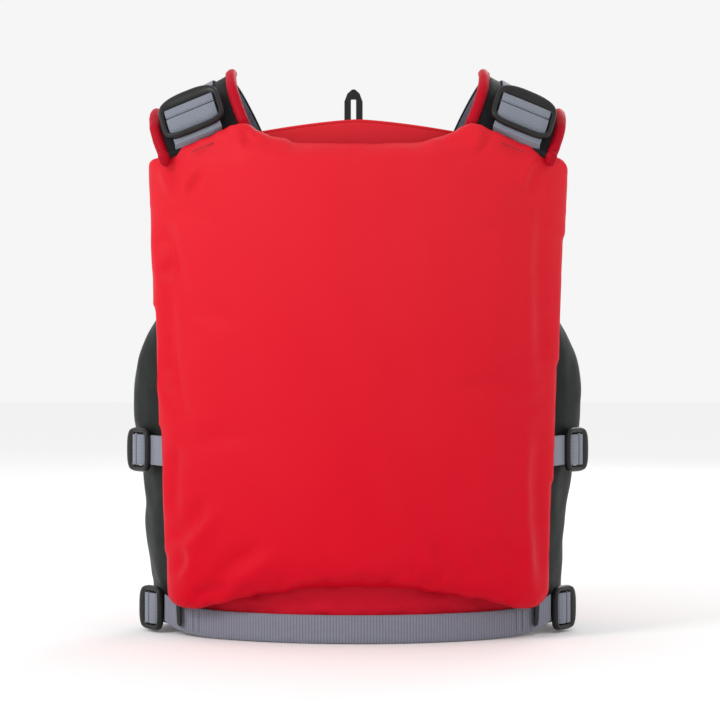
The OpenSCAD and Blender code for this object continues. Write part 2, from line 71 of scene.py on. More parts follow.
BACK_FACE = (146, 335)        # plan arcs: Y at the middle, radius
BACK_INSIDE = (106, 400)
BELT_ARC = (123, 264)
BACK_FLARE = 0.045
BACK_HALF_W = 187
FRONT_Y = 132.3               # the front panels' outer face, from the origin
BEND_X, BEND_R = 55, 170      # where a front panel starts to curve round, and its radius
BEND_Y = BEND_R - FRONT_Y
BEND_A = math.radians(62)
FRONT_THICK = 34
WEB_T = 1.6
BELT_W, SHOULDER_WEB_W = 30, 50
WAIST_Z, CHEST_Z = 24, 185
PAD_W, PAD_T, BINDING_W = 78, 6, 11
LOCK_RAIL, LOCK_H = 7, 6.5
SIDE_TOP_Z, SIDE_BOTTOM_Z = 320, 3
# the left shoulder's middle line, from the back panel's edge over the crest to the front
SHOULDER_POINTS = [
    [152.5, 101, 492], [160, 93, 511], [165, 80, 528], [167, 54, 543], [165, 18, 547],
    [157, -22, 538], [144, -60, 514.5], [130, -90, 483.5], [119, -102, 457.5],
]
# shares of that line: the pad gives way to the front strap, and the strap's webbing starts and ends
CREST, WEB_START, WEB_END = 22 / 48, 16 / 48, 44 / 48
SLOPE = 33                    # the shoulders fall away towards the arms, in degrees
SIDE_TURN = 9                 # how far the side panels are sewn in under the back
LOCK_LEAN = math.radians(54)  # the side locks, from the back's plane towards the side


# ---------------------------------------------------------------- curves

def unit(v):
    v = np.asarray(v, float)
    return v / np.maximum(np.linalg.norm(v, axis=-1, keepdims=True), 1e-9)


def mix(a, b, t):
    return np.asarray(a, float) * (1 - t) + np.asarray(b, float) * t


def smooth_path(points, steps):
    """A Catmull-Rom curve through the points."""
    p = np.asarray(points, float)
    out = []
    for i in range(len(p) - 1):
        a, b, c, d = p[max(i - 1, 0)], p[i], p[i + 1], p[min(i + 2, len(p) - 1)]
        for t in np.arange(steps) / steps:
            out.append(0.5 * (2 * b + (c - a) * t + (2 * a - 5 * b + 4 * c - d) * t * t
                              + (3 * b - a - 3 * c + d) * t ** 3))
    out.append(p[-1])
    return np.array(out)


def resample(points, step):
    """The same line with even steps of about that length."""
    p = np.asarray(points, float)
    far = np.concatenate([[0], np.cumsum(np.linalg.norm(np.diff(p, axis=0), axis=1))])
    at = np.linspace(0, far[-1], max(2, int(round(far[-1] / step)) + 1))
    return np.stack([np.interp(at, far, p[:, k]) for k in range(p.shape[1])], axis=1)


def arc_y(arc, x):
    return arc[0] - arc[1] + np.sqrt(arc[1] ** 2 - np.asarray(x, float) ** 2)


def tangents(p):
    return unit(np.gradient(p, axis=0))


SHOULDER_LINE = smooth_path(SHOULDER_POINTS, 6)


def shoulder_part(start, end, step=2.0):
    """Part of the shoulder's middle line and its cross directions, from share start to share end."""
    last = len(SHOULDER_LINE) - 1
    far = np.linspace(start * last, end * last, 200)
    line = np.stack([np.interp(far, np.arange(last + 1), SHOULDER_LINE[:, k]) for k in range(3)], axis=1)
    line += np.minimum(far, 0)[:, None] * [1.0, 2.0, 3.8]     # below its start it runs on down
    slope = np.radians(SLOPE * (1 - 0.4 * far / last))
    cross = np.stack([np.cos(slope), 0 * slope, -np.sin(slope)], axis=1)
    both = resample(np.hstack([line, cross]), step)
    line, cross = both[:, :3], both[:, 3:]
    t = tangents(line)
    return line, unit(cross - t * (cross * t).sum(1, keepdims=True))


def back_edge(z):
    """How far out the back panel reaches at height z."""
    return BACK_HALF_W + BACK_FLARE * z


def side_curve(z, steps=5):
    """The side panel's outer face at height z."""
    back_x = back_edge(z)
    bow = 232 - 26 * ((z - 242) / 78) ** 2 if z > 242 else 211 + 21 * math.exp(-((z - 242) / 100) ** 2)
    back = [back_x - 2, arc_y(BACK_INSIDE, back_x) - 16.5]
    front = [BEND_X + BEND_R * math.sin(BEND_A) + 0.5, BEND_Y - BEND_R * math.cos(BEND_A) + 3]
    return smooth_path([back, [mix(back[0], bow, 0.55), 25], [bow, -6], front], steps)


def mirrored(points, side):
    return np.asarray(points, float) * [side, 1, 1]


# ---------------------------------------------------------------- mesh makers

def new_piece(name, points, faces, material, uv=None, smooth=True):
    """A mesh object from points in millimetres. uv gives each point's place on the cloth, in metres."""
    mesh = bpy.data.meshes.new(name)
    mesh.from_pydata([tuple(p) for p in np.asarray(points, float) * MM], [], faces)
    mesh.polygons.foreach_set("use_smooth", [smooth] * len(mesh.polygons))
    if uv is not None:
        layer = mesh.uv_layers.new(name="cloth")
        corner = np.empty(len(mesh.loops), int)
        mesh.loops.foreach_get("vertex_index", corner)
        layer.data.foreach_set("uv", (np.asarray(uv, float) * MM)[corner].ravel())
    piece = bpy.data.objects.new(name, mesh)
    bpy.context.scene.collection.objects.link(piece)
    for m in material if isinstance(material, (list, tuple)) else [material]:
        mesh.materials.append(m)
    outward(piece)
    return piece


def outward(piece):
    b = bmesh.new()
    b.from_mesh(piece.data)
    bmesh.ops.recalc_face_normals(b, faces=b.faces)
    b.to_mesh(piece.data)
    b.free()


def join(name, pieces):
    """One object from several, which keep their materials."""
    with bpy.context.temp_override(
            active_object=pieces[0], selected_editable_objects=pieces, object=pieces[0]):
        bpy.ops.object.join()
    pieces[0].name = name
    return pieces[0]


def modified(piece, kind, **values):
    m = piece.modifiers.new(kind.title(), kind)
    for k, v in values.items():
        setattr(m, k, v)


def applied(piece):
    """Applies every modifier on the piece."""
    graph = bpy.context.evaluated_depsgraph_get()
    mesh = bpy.data.meshes.new_from_object(piece.evaluated_get(graph), depsgraph=graph)
    piece.modifiers.clear()
    piece.data = mesh
    return piece


def loft(name, rings, material, uv=None, closed=True, caps=True):
    """A skin over rings of points, each ring listed the same way."""
    rings = np.asarray(rings, float)
    n, m = rings.shape[:2]
    faces = []
    for i in range(n - 1):
        for k in range(m if closed else m - 1):
            a, b = i * m + k, i * m + (k + 1) % m
            faces.append((a, b, b + m, a + m))
    if caps and closed:
        faces += [tuple(range(m))[::-1], tuple(range((n - 1) * m, n * m))]
    return new_piece(name, rings.reshape(-1, 3), faces, material,
                     None if uv is None else np.asarray(uv, float).reshape(-1, 2))


def strip(name, path, across, section, material, bump=None):
    """A long piece whose cross-section, listed as (across, up) points, follows a path. across
    is one direction, or one for each point. bump(s, up) adds to the up distance, s along."""
    path = np.asarray(path, float)
    across = unit(np.broadcast_to(across, path.shape))
    section = np.asarray(section, float)
    t = tangents(path)
    up = unit(np.cross(t, across))
    far = np.concatenate([[0], np.cumsum(np.linalg.norm(np.diff(path, axis=0), axis=1))])
    rings, uv = [], []
    for i in range(len(path)):
        c, h = section[:, 0], section[:, 1].copy()
        if bump is not None:
            h = h + bump(far[i], h)
        rings.append(path[i] + across[i] * c[:, None] + up[i] * h[:, None])
        uv.append(np.stack([np.full(len(c), far[i]), c], axis=1))
    return loft(name, rings, material, uv)


def oval(half_across, half_up, middle=0.0, count=10):
    """A round section, for rolled edges."""
    angles = np.linspace(0, 2 * math.pi, count + 1)[:-1]
    return [(half_across * math.cos(a), middle + half_up * math.sin(a)) for a in angles]


def flat_section(width, thick, base=0.0, columns=6):
    """A thin closed section with rounded edges: over the top, then back below."""
    half, r = width / 2, thick / 2
    top = [(c, base + thick) for c in np.linspace(-half + r, half - r, columns)]
    bottom = [(c, base) for c in np.linspace(half - r, -half + r, columns)]
    return top + [(half, base + r)] + bottom + [(-half, base + r)]


RIB, RIB_DEPTH = 3.0, 0.22    # spacing and depth of the belt webbing's ribs


def webbing(name, path, across, width, material, thick=WEB_T, base=0.0, ribbed=True):
    """A flat strap, with ribs across its two faces unless ribbed is false."""
    path = np.asarray(path, float)
    both = resample(np.hstack([path, np.broadcast_to(across, path.shape)]), 0.5 if ribbed else 1.5)

    def bump(s, up):
        wave = RIB_DEPTH * math.cos(2 * math.pi * s / RIB)
        return np.where(up - base > 0.75 * thick, wave, np.where(up - base < 0.25 * thick, -wave, 0))

    return strip(name, both[:, :3], both[:, 3:], flat_section(width, thick, base), material,
                 bump if ribbed else None)


def stitches(name, path, material, length=2.6, pitch=3.8, r=0.32, lift=0.1):
    """A row of thread stitches along a line of (point, outward) rows."""
    both = resample(path, pitch)
    points, faces = [], []
    t = tangents(both[:, :3])
    for i in range(1, len(both) - 1):
        out = unit(both[i, 3:])
        side = unit(np.cross(t[i], out))
        for e, high in ((-0.5, -0.5), (-0.3, 0.6), (0.3, 0.6), (0.5, -0.5)):
            centre = both[i, :3] + t[i] * length * e + out * (lift + r * high)
            for a in range(4):
                w = math.radians(45 + 90 * a)
                points.append(centre + (side * math.cos(w) + out * math.sin(w)) * r)
        base = len(points) - 16
        for ring in range(3):
            for k in range(4):
                a, b = base + ring * 4 + k, base + ring * 4 + (k + 1) % 4
                faces.append((a, b, b + 4, a + 4))
        faces.append((base + 3, base + 2, base + 1, base))
        faces.append((base + 12, base + 13, base + 14, base + 15))
    return new_piece(name, points, faces, material)


# ---------------------------------------------------------------- materials

def linear(r, g, b):
    """An 8-bit display colour as a linear one."""
    return [((c / 255 + 0.055) / 1.055) ** 2.4 if c > 10 else c / 255 / 12.92 for c in (r, g, b)] + [1]


class Surface:
    """A node material that starts as a Principled shader, with helpers for its layers."""

    def __init__(self, name, colour, roughness, specular=0.5, sheen=0.0):
        self.material = bpy.data.materials.new(name)
        self.material.use_nodes = True
        self.nodes = self.material.node_tree.nodes
        self.links = self.material.node_tree.links
        self.shader = self.nodes["Principled BSDF"]
        self.shader.inputs["Base Color"].default_value = colour
        self.shader.inputs["Roughness"].default_value = roughness
        self.shader.inputs["Specular IOR Level"].default_value = specular
        self.shader.inputs["Sheen Weight"].default_value = sheen
        self.place = self.nodes.new("ShaderNodeTexCoord")
        self.height = None

    def node(self, kind, **values):
        n = self.nodes.new(kind)
        for k, v in values.items():
            if k in n.inputs:
                n.inputs[k].default_value = v
            else:
                setattr(n, k, v)
        return n

    def link(self, a, b):
        self.links.new(a, b)

    def mapped(self, scale, coordinates="Object"):
        m = self.node("ShaderNodeMapping")
        m.inputs["Scale"].default_value = scale
        self.link(self.place.outputs[coordinates], m.inputs["Vector"])
        return m.outputs["Vector"]

    def noise(self, scale, detail=3.0, stretch=(1, 1, 1)):
        n = self.node("ShaderNodeTexNoise", Scale=scale, Detail=detail)
        self.link(self.mapped(stretch), n.inputs["Vector"])
        return n.outputs["Fac"]

    def wave(self, pitch, direction, coordinates="Object"):
        """Bands of that spacing, in metres."""
        w = self.node("ShaderNodeTexWave", wave_type="BANDS", bands_direction=direction)
        w.inputs["Scale"].default_value = 2 * math.pi / (20 * pitch)
        w.inputs["Distortion"].default_value = 0
        self.link(self.mapped((1, 1, 1), coordinates), w.inputs["Vector"])
        return w.outputs["Fac"]

    def maths(self, operation, a, b):
        m = self.node("ShaderNodeMath", operation=operation)
        for socket, value in zip(m.inputs, (a, b)):
            if isinstance(value, (int, float)):
                socket.default_value = value
            else:
                self.link(value, socket)
        return m.outputs["Value"]

    def tint(self, factor, dark, light, low=0.3, high=0.7):
        """The base colour runs from dark to light with a factor."""
        ramp = self.node("ShaderNodeValToRGB")
        ramp.color_ramp.elements[0].position = low
        ramp.color_ramp.elements[1].position = high
        ramp.color_ramp.elements[0].color = dark
        ramp.color_ramp.elements[1].color = light
        self.link(factor, ramp.inputs["Fac"])
        self.link(ramp.outputs["Color"], self.shader.inputs["Base Color"])

    def rough(self, factor, low, high):
        r = self.node("ShaderNodeMapRange")
        r.inputs["To Min"].default_value = low
        r.inputs["To Max"].default_value = high
        self.link(factor, r.inputs["Value"])
        self.link(r.outputs["Result"], self.shader.inputs["Roughness"])

    def bump(self, height, depth, strength=1.0):
        """Adds a bump of that depth in metres, over the ones before it."""
        b = self.node("ShaderNodeBump", Strength=strength, Distance=depth)
        self.link(height, b.inputs["Height"])
        if self.height is not None:
            self.link(self.height, b.inputs["Normal"])
        self.height = b.outputs["Normal"]
        self.link(self.height, self.shader.inputs["Normal"])


def shade(colour, k):
    return [c * k for c in colour[:3]] + [1]


def nylon(name, top, bottom, k, painted_shade_heights, wrinkle=0.0006):
    """Coated red nylon: a fine plain weave, and painted light and shade: a colour that is lighter at the top
    and deepens towards the bottom, between two given levels.
    """
    # painted light and shade: top is the lighter, lit colour and bottom the deeper, shaded one
    top, bottom = shade(linear(*top), k), shade(linear(*bottom), k)
    s = Surface(name, top, 0.46, specular=0.07)
    parts = s.node("ShaderNodeSeparateXYZ")
    s.link(s.place.outputs["Object"], parts.inputs["Vector"])
    # painted light and shade: a ramp by height from the bottom colour to the top colour
    painted_shade_ramp = s.node("ShaderNodeMapRange")
    painted_shade_ramp.inputs["From Min"].default_value = painted_shade_heights[0]
    painted_shade_ramp.inputs["From Max"].default_value = painted_shade_heights[1]
    s.link(parts.outputs["Z"], painted_shade_ramp.inputs["Value"])
    blotch = s.maths("MULTIPLY", s.maths("SUBTRACT", s.noise(9, 4), 0.5), 0.35)
    s.tint(s.maths("ADD", painted_shade_ramp.outputs["Result"], blotch), bottom, top, 0.0, 1.0)
    s.rough(s.noise(28, 5), 0.40, 0.56)
    s.bump(s.noise(7, 3, (1, 1, 0.55)), wrinkle * 2.2)
    s.bump(s.noise(34, 4, (1, 1, 0.7)), wrinkle * 0.35)
    weave = s.maths("ADD", s.wave(0.0007, "X"), s.wave(0.0007, "Z"))
    s.bump(weave, 0.00004, 0.5)
    return s.material


def woven_band(name, colour, pitch, cross_pitch, depth):
    """Webbing: yarns that show as small dashes, dark between the rows."""
    s = Surface(name, colour, 0.7, specular=0.25, sheen=0.25)
    rows = s.wave(pitch, "X", "UV")
    yarns = s.wave(cross_pitch, "Y", "UV")
    check = s.maths("MULTIPLY", s.maths("ADD", rows, 0.25), s.maths("ADD", yarns, 0.35))
    fuzz = s.maths("MULTIPLY", s.noise(900, 2), 0.35)
    s.tint(s.maths("ADD", check, fuzz), shade(colour, 0.52), shade(colour, 1.32), 0.05, 1.25)
    s.rough(fuzz, 0.6, 0.85)
    s.bump(check, depth)
    s.bump(s.noise(1200, 2), 0.00006, 0.6)
    return s.material


def soft_fabric(name, colour, roughness, pitch, depth, sheen=0.2, wrinkle=0.0, specular=0.3):
    """A plain woven or knitted cloth."""
    s = Surface(name, colour, roughness, specular=specular, sheen=sheen)
    s.tint(s.noise(60, 5), shade(colour, 0.75), shade(colour, 1.25), 0.3, 0.7)
    s.rough(s.noise(45, 3), roughness - 0.08, roughness + 0.08)
    if wrinkle:
        s.bump(s.noise(11, 3, (1, 1, 0.5)), wrinkle)
    weave = s.maths("ADD", s.wave(pitch, "X"), s.maths("ADD", s.wave(pitch, "Z"), s.wave(pitch, "Y")))
    s.bump(weave, depth)
    return s.material


def plastic(name, colour, roughness=0.38):
    """Moulded acetal: satin, with a very fine grain and faint rubbed patches."""
    s = Surface(name, colour, roughness, specular=0.3)
    s.tint(s.noise(35, 4), shade(colour, 0.8), shade(colour, 1.35), 0.35, 0.75)
    s.rough(s.noise(50, 5), roughness - 0.08, roughness + 0.12)
    s.bump(s.noise(1600, 2), 0.00003, 0.5)
    s.bump(s.noise(120, 3), 0.00006, 0.4)
    return s.material


# each red runs from a lighter top to a deeper bottom: painted light and shade
RED = nylon("red_nylon", (236, 38, 52), (224, 3, 36), 0.79, (0.03, 0.47))
# the yoke's darker, duller red is painted shade for the inside of the neck
SHADED_RED_YOKE = nylon("red_nylon_small_shaded", (218, 44, 54), (206, 28, 46), 0.88, (0.40, 0.52), 0.0003)
RED_SKIRT = nylon("red_nylon_skirt", (204, 20, 44), (186, 12, 36), 0.92, (0.0, 0.06), 0.0022)
BINDING_RED = nylon("red_binding", (200, 14, 40), (180, 8, 30), 0.80, (0.44, 0.57), 0.0002)
WEBBING = woven_band("grey_webbing", linear(118, 121, 134), 0.0030, 0.0011, 0.00016)
SHOULDER_WEBBING = woven_band("grey_shoulder_webbing", linear(118, 123, 135), 0.0019, 0.0014, 0.00022)
BLACK_WEBBING = woven_band("black_webbing", linear(26, 26, 28), 0.0016, 0.0012, 0.00015)
LINING = soft_fabric("grey_lining", linear(92, 95, 110), 0.75, 0.0011, 0.00006, sheen=0.4, wrinkle=0.0006)
CHARCOAL = soft_fabric("charcoal_fabric", linear(30, 35, 32), 0.5, 0.0008, 0.00004,
                       sheen=0.02, wrinkle=0.0016, specular=0.14)
BLACK = soft_fabric("black_fabric", linear(24, 23, 26), 0.62, 0.0010, 0.00008,
                    sheen=0.05, wrinkle=0.0004, specular=0.15)
PLASTIC = plastic("black_plastic", linear(26, 26, 26))
LOCK_PLASTIC = plastic("grey_black_plastic", linear(25, 25, 26), 0.36)
ZIP_TAPE = soft_fabric("zip_tape", linear(34, 34, 36), 0.7, 0.0007, 0.00008)
ZIP_PLASTIC = plastic("zip_plastic", linear(38, 38, 40), 0.33)
RED_THREAD = soft_fabric("red_thread", linear(150, 12, 30), 0.6, 0.0004, 0.00004)
GREY_THREAD = soft_fabric("grey_thread", linear(92, 94, 106), 0.6, 0.0004, 0.00004)
BLACK_THREAD = soft_fabric("black_thread", linear(46, 20, 24), 0.6, 0.0004, 0.00004)


# ---------------------------------------------------------------- padded panels

SPACING = 6.0                 # of a padded panel's mesh points
OUTER_CROWN, INNER_CROWN = 26, 18     # how far from its seam a panel is still rounded
PRESSURE, GROWTH = 4.0, 0.012         # of the cloth that is blown up
SWELL, FRAMES = 6, 20                 # the most that it may move, and the steps


def outline_distance(points, outline):
    """Each point's distance to a closed outline."""
    best = np.full(len(points), 1e9)
    for a, b in zip(outline, np.roll(outline, -1, axis=0)):
        d = b - a
        t = np.clip(((points - a) @ d) / max(d @ d, 1e-9), 0, 1)
        best = np.minimum(best, np.linalg.norm(points - (a + t[:, None] * d), axis=1))
    return best


def inside(points, outline):
    hit = np.zeros(len(points), bool)
    x, z = points[:, 0], points[:, 1]
    for a, b in zip(outline, np.roll(outline, -1, axis=0)):
        crosses = (a[1] > z) != (b[1] > z)
        with np.errstate(divide="ignore", invalid="ignore"):
            hit ^= crosses & (x < (b[0] - a[0]) * (z - a[1]) / (b[1] - a[1]) + a[0])
    return hit


def quilt(name, outline, place, seam, material):
    """A closed padded panel over an outline of (u, z) points. place(u, z, k) gives points in
    space, k running from -1 on the inner face to 1 on the outer. seam(u, z) is the k of the
    seam. Returns the piece, and 1 for each outer point, -1 for an inner one, 0 on the seam."""
    rim = resample(np.vstack([outline, outline[:1]]), SPACING)[:-1]
    low, high = rim.min(0), rim.max(0)
    lattice = np.array([(u, z) for u in np.arange(low[0], high[0], SPACING)
                        for z in np.arange(low[1], high[1], SPACING)])
    lattice = lattice[inside(lattice, rim)]
    lattice = lattice[outline_distance(lattice, rim) > SPACING * 0.6]
    flat = np.vstack([rim, lattice])
    count = len(rim)
    edges = [(i, (i + 1) % count) for i in range(count)]
    found, _, faces, _, _, _ = delaunay_2d_cdt([Vector(p) for p in flat], edges, [], 1, 1e-5)
    flat = np.array([tuple(p) for p in found])
    d = outline_distance(flat, rim)
    on_rim = d < 1e-3
    k0 = seam(flat[:, 0], flat[:, 1])

    def rounded(reach):
        return np.sqrt(1 - (1 - np.clip(d / reach, 0, 1)) ** 2)

    outer = k0 + (1 - k0) * rounded(OUTER_CROWN)
    inner = k0 - (1 + k0) * rounded(INNER_CROWN)
    n = len(flat)
    inner_index = np.arange(n) + n
    inner_index[on_rim] = np.arange(n)[on_rim]
    used = np.concatenate([np.arange(n), np.arange(n)[~on_rim] + n])
    number = {int(v): i for i, v in enumerate(used)}
    points = np.vstack([place(flat[:, 0], flat[:, 1], outer), place(flat[:, 0], flat[:, 1], inner)])[used]
    solid = [tuple(f) for f in faces]
    solid += [tuple(number[int(inner_index[i])] for i in reversed(f)) for f in faces]
    face = np.concatenate([np.where(on_rim, 0, 1), -np.ones(int((~on_rim).sum()))])
    piece = new_piece(name, points, solid, material)
    b = bmesh.new()
    b.from_mesh(piece.data)
    bmesh.ops.join_triangles(b, faces=b.faces, angle_face_threshold=0.6, angle_shape_threshold=0.9)
    b.to_mesh(piece.data)
    b.free()
    return piece, face


def coordinates(piece):
    co = np.empty(len(piece.data.vertices) * 3)
    piece.data.vertices.foreach_get("co", co)
    return co.reshape(-1, 3)


def set_coordinates(piece, co):
    piece.data.vertices.foreach_set("co", np.asarray(co, float).ravel())
    piece.data.update()


def normals_of(piece):
    normals = np.empty(len(piece.data.vertices) * 3)
    piece.data.vertices.foreach_get("normal", normals)
    return normals.reshape(-1, 3)


def puff(piece, pinned):
    """Blows the panel up as cloth, with its seam held, and keeps the result."""
    rest = coordinates(piece)
    group = piece.vertex_groups.new(name="seam")
    group.add([int(i) for i in pinned], 1.0, "REPLACE")
    cloth = piece.modifiers.new("Cloth", "CLOTH")
    s = cloth.settings
    s.quality = 6
    s.mass = 0.25
    s.tension_stiffness = s.compression_stiffness = 18
    s.shear_stiffness = 8
    s.bending_stiffness = 0.4
    s.use_pressure = True
    s.uniform_pressure_force = PRESSURE
    s.vertex_group_mass = "seam"
    s.shrink_min = -GROWTH
    s.effector_weights.gravity = 0
    cloth.collision_settings.use_collision = False
    cloth.point_cache.frame_end = FRAMES
    for frame_number in range(1, FRAMES + 1):
        bpy.context.scene.frame_set(frame_number)
    graph = bpy.context.evaluated_depsgraph_get()
    swollen = coordinates(piece.evaluated_get(graph))
    moved = swollen - rest
    length = np.linalg.norm(moved, axis=1, keepdims=True)
    moved *= np.minimum(1, SWELL * MM / np.maximum(length, 1e-9))
    piece.modifiers.clear()
    set_coordinates(piece, rest + moved)
    bpy.context.scene.frame_set(1)


def lining_of(name, piece, face):
    """A thin lining laid on a panel's inner face."""
    co = coordinates(piece)
    keep = {i for i in range(len(co)) if face[i] < 0}
    faces = [tuple(p.vertices) for p in piece.data.polygons if all(v in keep for v in p.vertices)]
    used = sorted({v for f in faces for v in f})
    number = {v: i for i, v in enumerate(used)}
    points = (co[used] + normals_of(piece)[used] * 0.7 * MM) / MM
    lining = new_piece(name, points, [tuple(number[v] for v in f) for f in faces], LINING)
    modified(lining, "SOLIDIFY", thickness=0.8 * MM, offset=1.0)
    modified(lining, "SUBSURF", levels=1, render_levels=1)
    return applied(lining)


def smoothed(piece):
    modified(piece, "SUBSURF", levels=1, render_levels=1)
    return applied(piece)


def folded(piece, folds, facing):
    """Presses soft folds into the face that looks along facing. Each fold is a line of
    (x0, z0, x1, z1, depth, half-width): a valley with a ridge beside it."""
    co, normals = coordinates(piece), normals_of(piece)
    flat = co[:, [0, 2]] / MM
    depth = np.zeros(len(co))
    for x0, z0, x1, z1, deep, wide in folds:
        start, run = np.array([x0, z0]), np.array([x1 - x0, z1 - z0])
        length = np.linalg.norm(run)
        t = ((flat - start) @ run) / length ** 2
        q = ((flat - start) @ np.array([-run[1], run[0]])) / length / wide
        q = q + 0.35 * np.sin(4 * t + 0.05 * x0)
        fade = np.exp(-(np.clip(np.abs(t - 0.5) - 0.2, 0, None) / 0.2) ** 2)
        depth += deep * fade * (0.75 * np.exp(-(q - 1.7) ** 2) - np.exp(-q ** 2))
    share = np.clip((normals @ np.array(facing, float)) * 2, 0, 1)
    set_coordinates(piece, co + normals * (depth * share)[:, None] * MM)


# ---------------------------------------------------------------- back panel

def arch_z(x):
    """The arched foot of the back cushion."""
    return 59 - 26 * (np.asarray(x, float) / 160) ** 2


def both_halves(half):
    """A closed outline from its +X half, listed from the middle of the foot to the middle of the top."""
    half = np.asarray(half, float)
    return np.vstack([half, (half * [-1, 1])[::-1]])


def back_panel():
    def side(z):              # the sides start this far out, because the sewn edge draws in
        return back_edge(z) + 2.6 + 0.0042 * z

    half = [(x, arch_z(x) - 6) for x in range(1, 161, 12)]
    half += [(174, 28), (184, 32), (side(44), 42), (side(60), 60)]
    half += [(side(z), z) for z in range(100, 451, 50)]
    half += [(211.5, 462), (210.5, 472), (204, 477), (194, 480), (128, 505), (119, 508), (112, 512),
             (105, 508), (96, 503), (84, 498), (60, 491.5), (20, 489), (1, 489)]

    def place(x, z, k):
        outer, inner = arc_y(BACK_FACE, x), arc_y(BACK_INSIDE, x)
        k = np.where(k > 0, k * 0.93, k * 0.90)
        corner = np.clip((np.abs(x) - 130) / 60, 0, 1) * np.clip((z - 420) / 55, 0, 1)
        return np.stack([x, (outer + inner) / 2 + k * (outer - inner) / 2 + 11 * corner ** 1.5, z], axis=1)

    def seam(x, z):
        high = np.clip((z - 430) / 50, 0, 1) * np.clip((np.abs(x) - 95) / 25, 0, 1)
        return -0.2 + 0.85 * high

    piece, face = quilt("back_cushion", both_halves(half), place, seam, RED)
    puff(piece, np.flatnonzero(face == 0))
    lining = lining_of("back_lining_cloth", piece, face)
    smoothed(piece)
    folded(piece, BACK_FOLDS, (0, 1, 0))
    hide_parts("back_shell", "back_foam")
    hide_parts("back_lining")
    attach(piece, "back")
    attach(lining, "back")


BACK_FOLDS = [
    (192, 92, 141, 143, 4.2, 9), (141, 54, 92, 104, 3.8, 10), (186, 60, 168, 92, 3.0, 6),
    (164, 40, 120, 62, 2.6, 7), (185, 420, 184, 225, 3.2, 6), (184, 472, 174, 438, 3.2, 5),
    (154, 462, 163, 436, 2.8, 4.5), (195, 425, 172, 330, 3.4, 8), (194, 305, 172, 212, 3.6, 8),
    (112, 503, 106, 484, 2.2, 4), (-67, 110, -124, 54, 3.8, 10), (-104, 96, -150, 60, 2.6, 8),
    (-182, 214, -181, 40, 4.0, 8), (-184, 440, -181, 250, 2.6, 7), (-165, 70, -130, 104, 2.2, 8),
    (-185, 474, -166, 440, 2.8, 5), (-128, 500, -118, 474, 2.0, 4), (178, 200, 181, 112, 2.4, 6),
    (60, 52, 20, 64, 1.6, 6), (-20, 56, -50, 70, 1.4, 6),
]


def ripple(*at):
    """Smooth noise, for the waves of loose cloth."""
    return noise.noise(Vector(at))


def skirt():
    """The gathered band between the cushion's arched foot and the belt."""
    low, high = box("back_skirt")
    middle_y, radius = BELT_ARC
    rings, uv = [], []
    for t in np.linspace(0, 1, 16):
        ring = []
        for x in np.linspace(low[0], high[0], 150):
            top = float(arch_z(x)) + 5 if abs(x) < 160 else 37
            z = mix(low[2] + 12 * min(max((abs(x) - 140) / 40, 0), 1), top, t)
            wave = ripple(x * 0.045, z * 0.09, 3.1) + 0.5 * ripple(x * 0.11, z * 0.12, 9.7)
            out = -1.2 + 3.0 * wave * (0.35 + 0.65 * t)
            out = min(out, 0.2) if z < 34 else out + 0.8
            a = math.asin(x / radius)
            r = radius - 1.4 + out
            ring.append((r * math.sin(a), middle_y - radius + r * math.cos(a), z))
            uv.append((x, z))
        rings.append(ring)
    piece = loft("skirt_cloth", rings, RED_SKIRT, uv, closed=False)
    modified(piece, "SOLIDIFY", thickness=0.6 * MM, offset=0)
    applied(piece)
    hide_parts("back_skirt")
    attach(piece, "back")


def belt():
    end = math.radians(46.5)
    angles = np.linspace(-end, end, 120)
    path = np.stack([BELT_ARC[1] * np.sin(angles), BELT_ARC[0] - BELT_ARC[1] * (1 - np.cos(angles)),
                     mix(13.9, WAIST_Z, (np.abs(angles) / end) ** 9)], axis=1)
    # the ends run on under the waist locks
    before = path[0] + unit(path[0] - path[1]) * 4
    after = path[-1] + unit(path[-1] - path[-2]) * 4
    path = np.vstack([[before], path, [after]])
    piece = webbing("waist_belt", path, UP, BELT_W - 2.4, WEBBING, base=-WEB_T)
    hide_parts("waist_belt_back")
    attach(piece, "back")


def yoke():
    low, high = box("neck_yoke")
    half_w, foot = high[0], 476

    def yoke_top(x):
        return high[2] - 3.0 - 11 * (abs(x) / half_w) ** 1.35

    xs = np.linspace(-half_w, half_w, 70)
    rings, uv = [], []
    for t in np.linspace(0, 1, 10):
        ring = []
        for x in xs:
            z = mix(foot, yoke_top(x), t)
            ring.append((x, arc_y(BACK_INSIDE, x) - 3 + ripple(x * 0.03, z * 0.05, 5.3) * (1 - t), z))
            uv.append((x, z))
        rings.append(ring)
    # the yoke cloth and its hem take the darker red: painted shade
    cloth = loft("neck_yoke_cloth", rings, SHADED_RED_YOKE, uv, closed=False)
    modified(cloth, "SOLIDIFY", thickness=1.2 * MM, offset=0)
    applied(cloth)
    edge = [(x, arc_y(BACK_INSIDE, x) - 3, yoke_top(x)) for x in xs]
    hem = strip("neck_yoke_hem", edge, [0, 1, 0], oval(1.3, 1.5), SHADED_RED_YOKE)
    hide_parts("neck_yoke")
    for piece in (cloth, hem):
        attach(piece, "back")


# ---------------------------------------------------------------- front panels

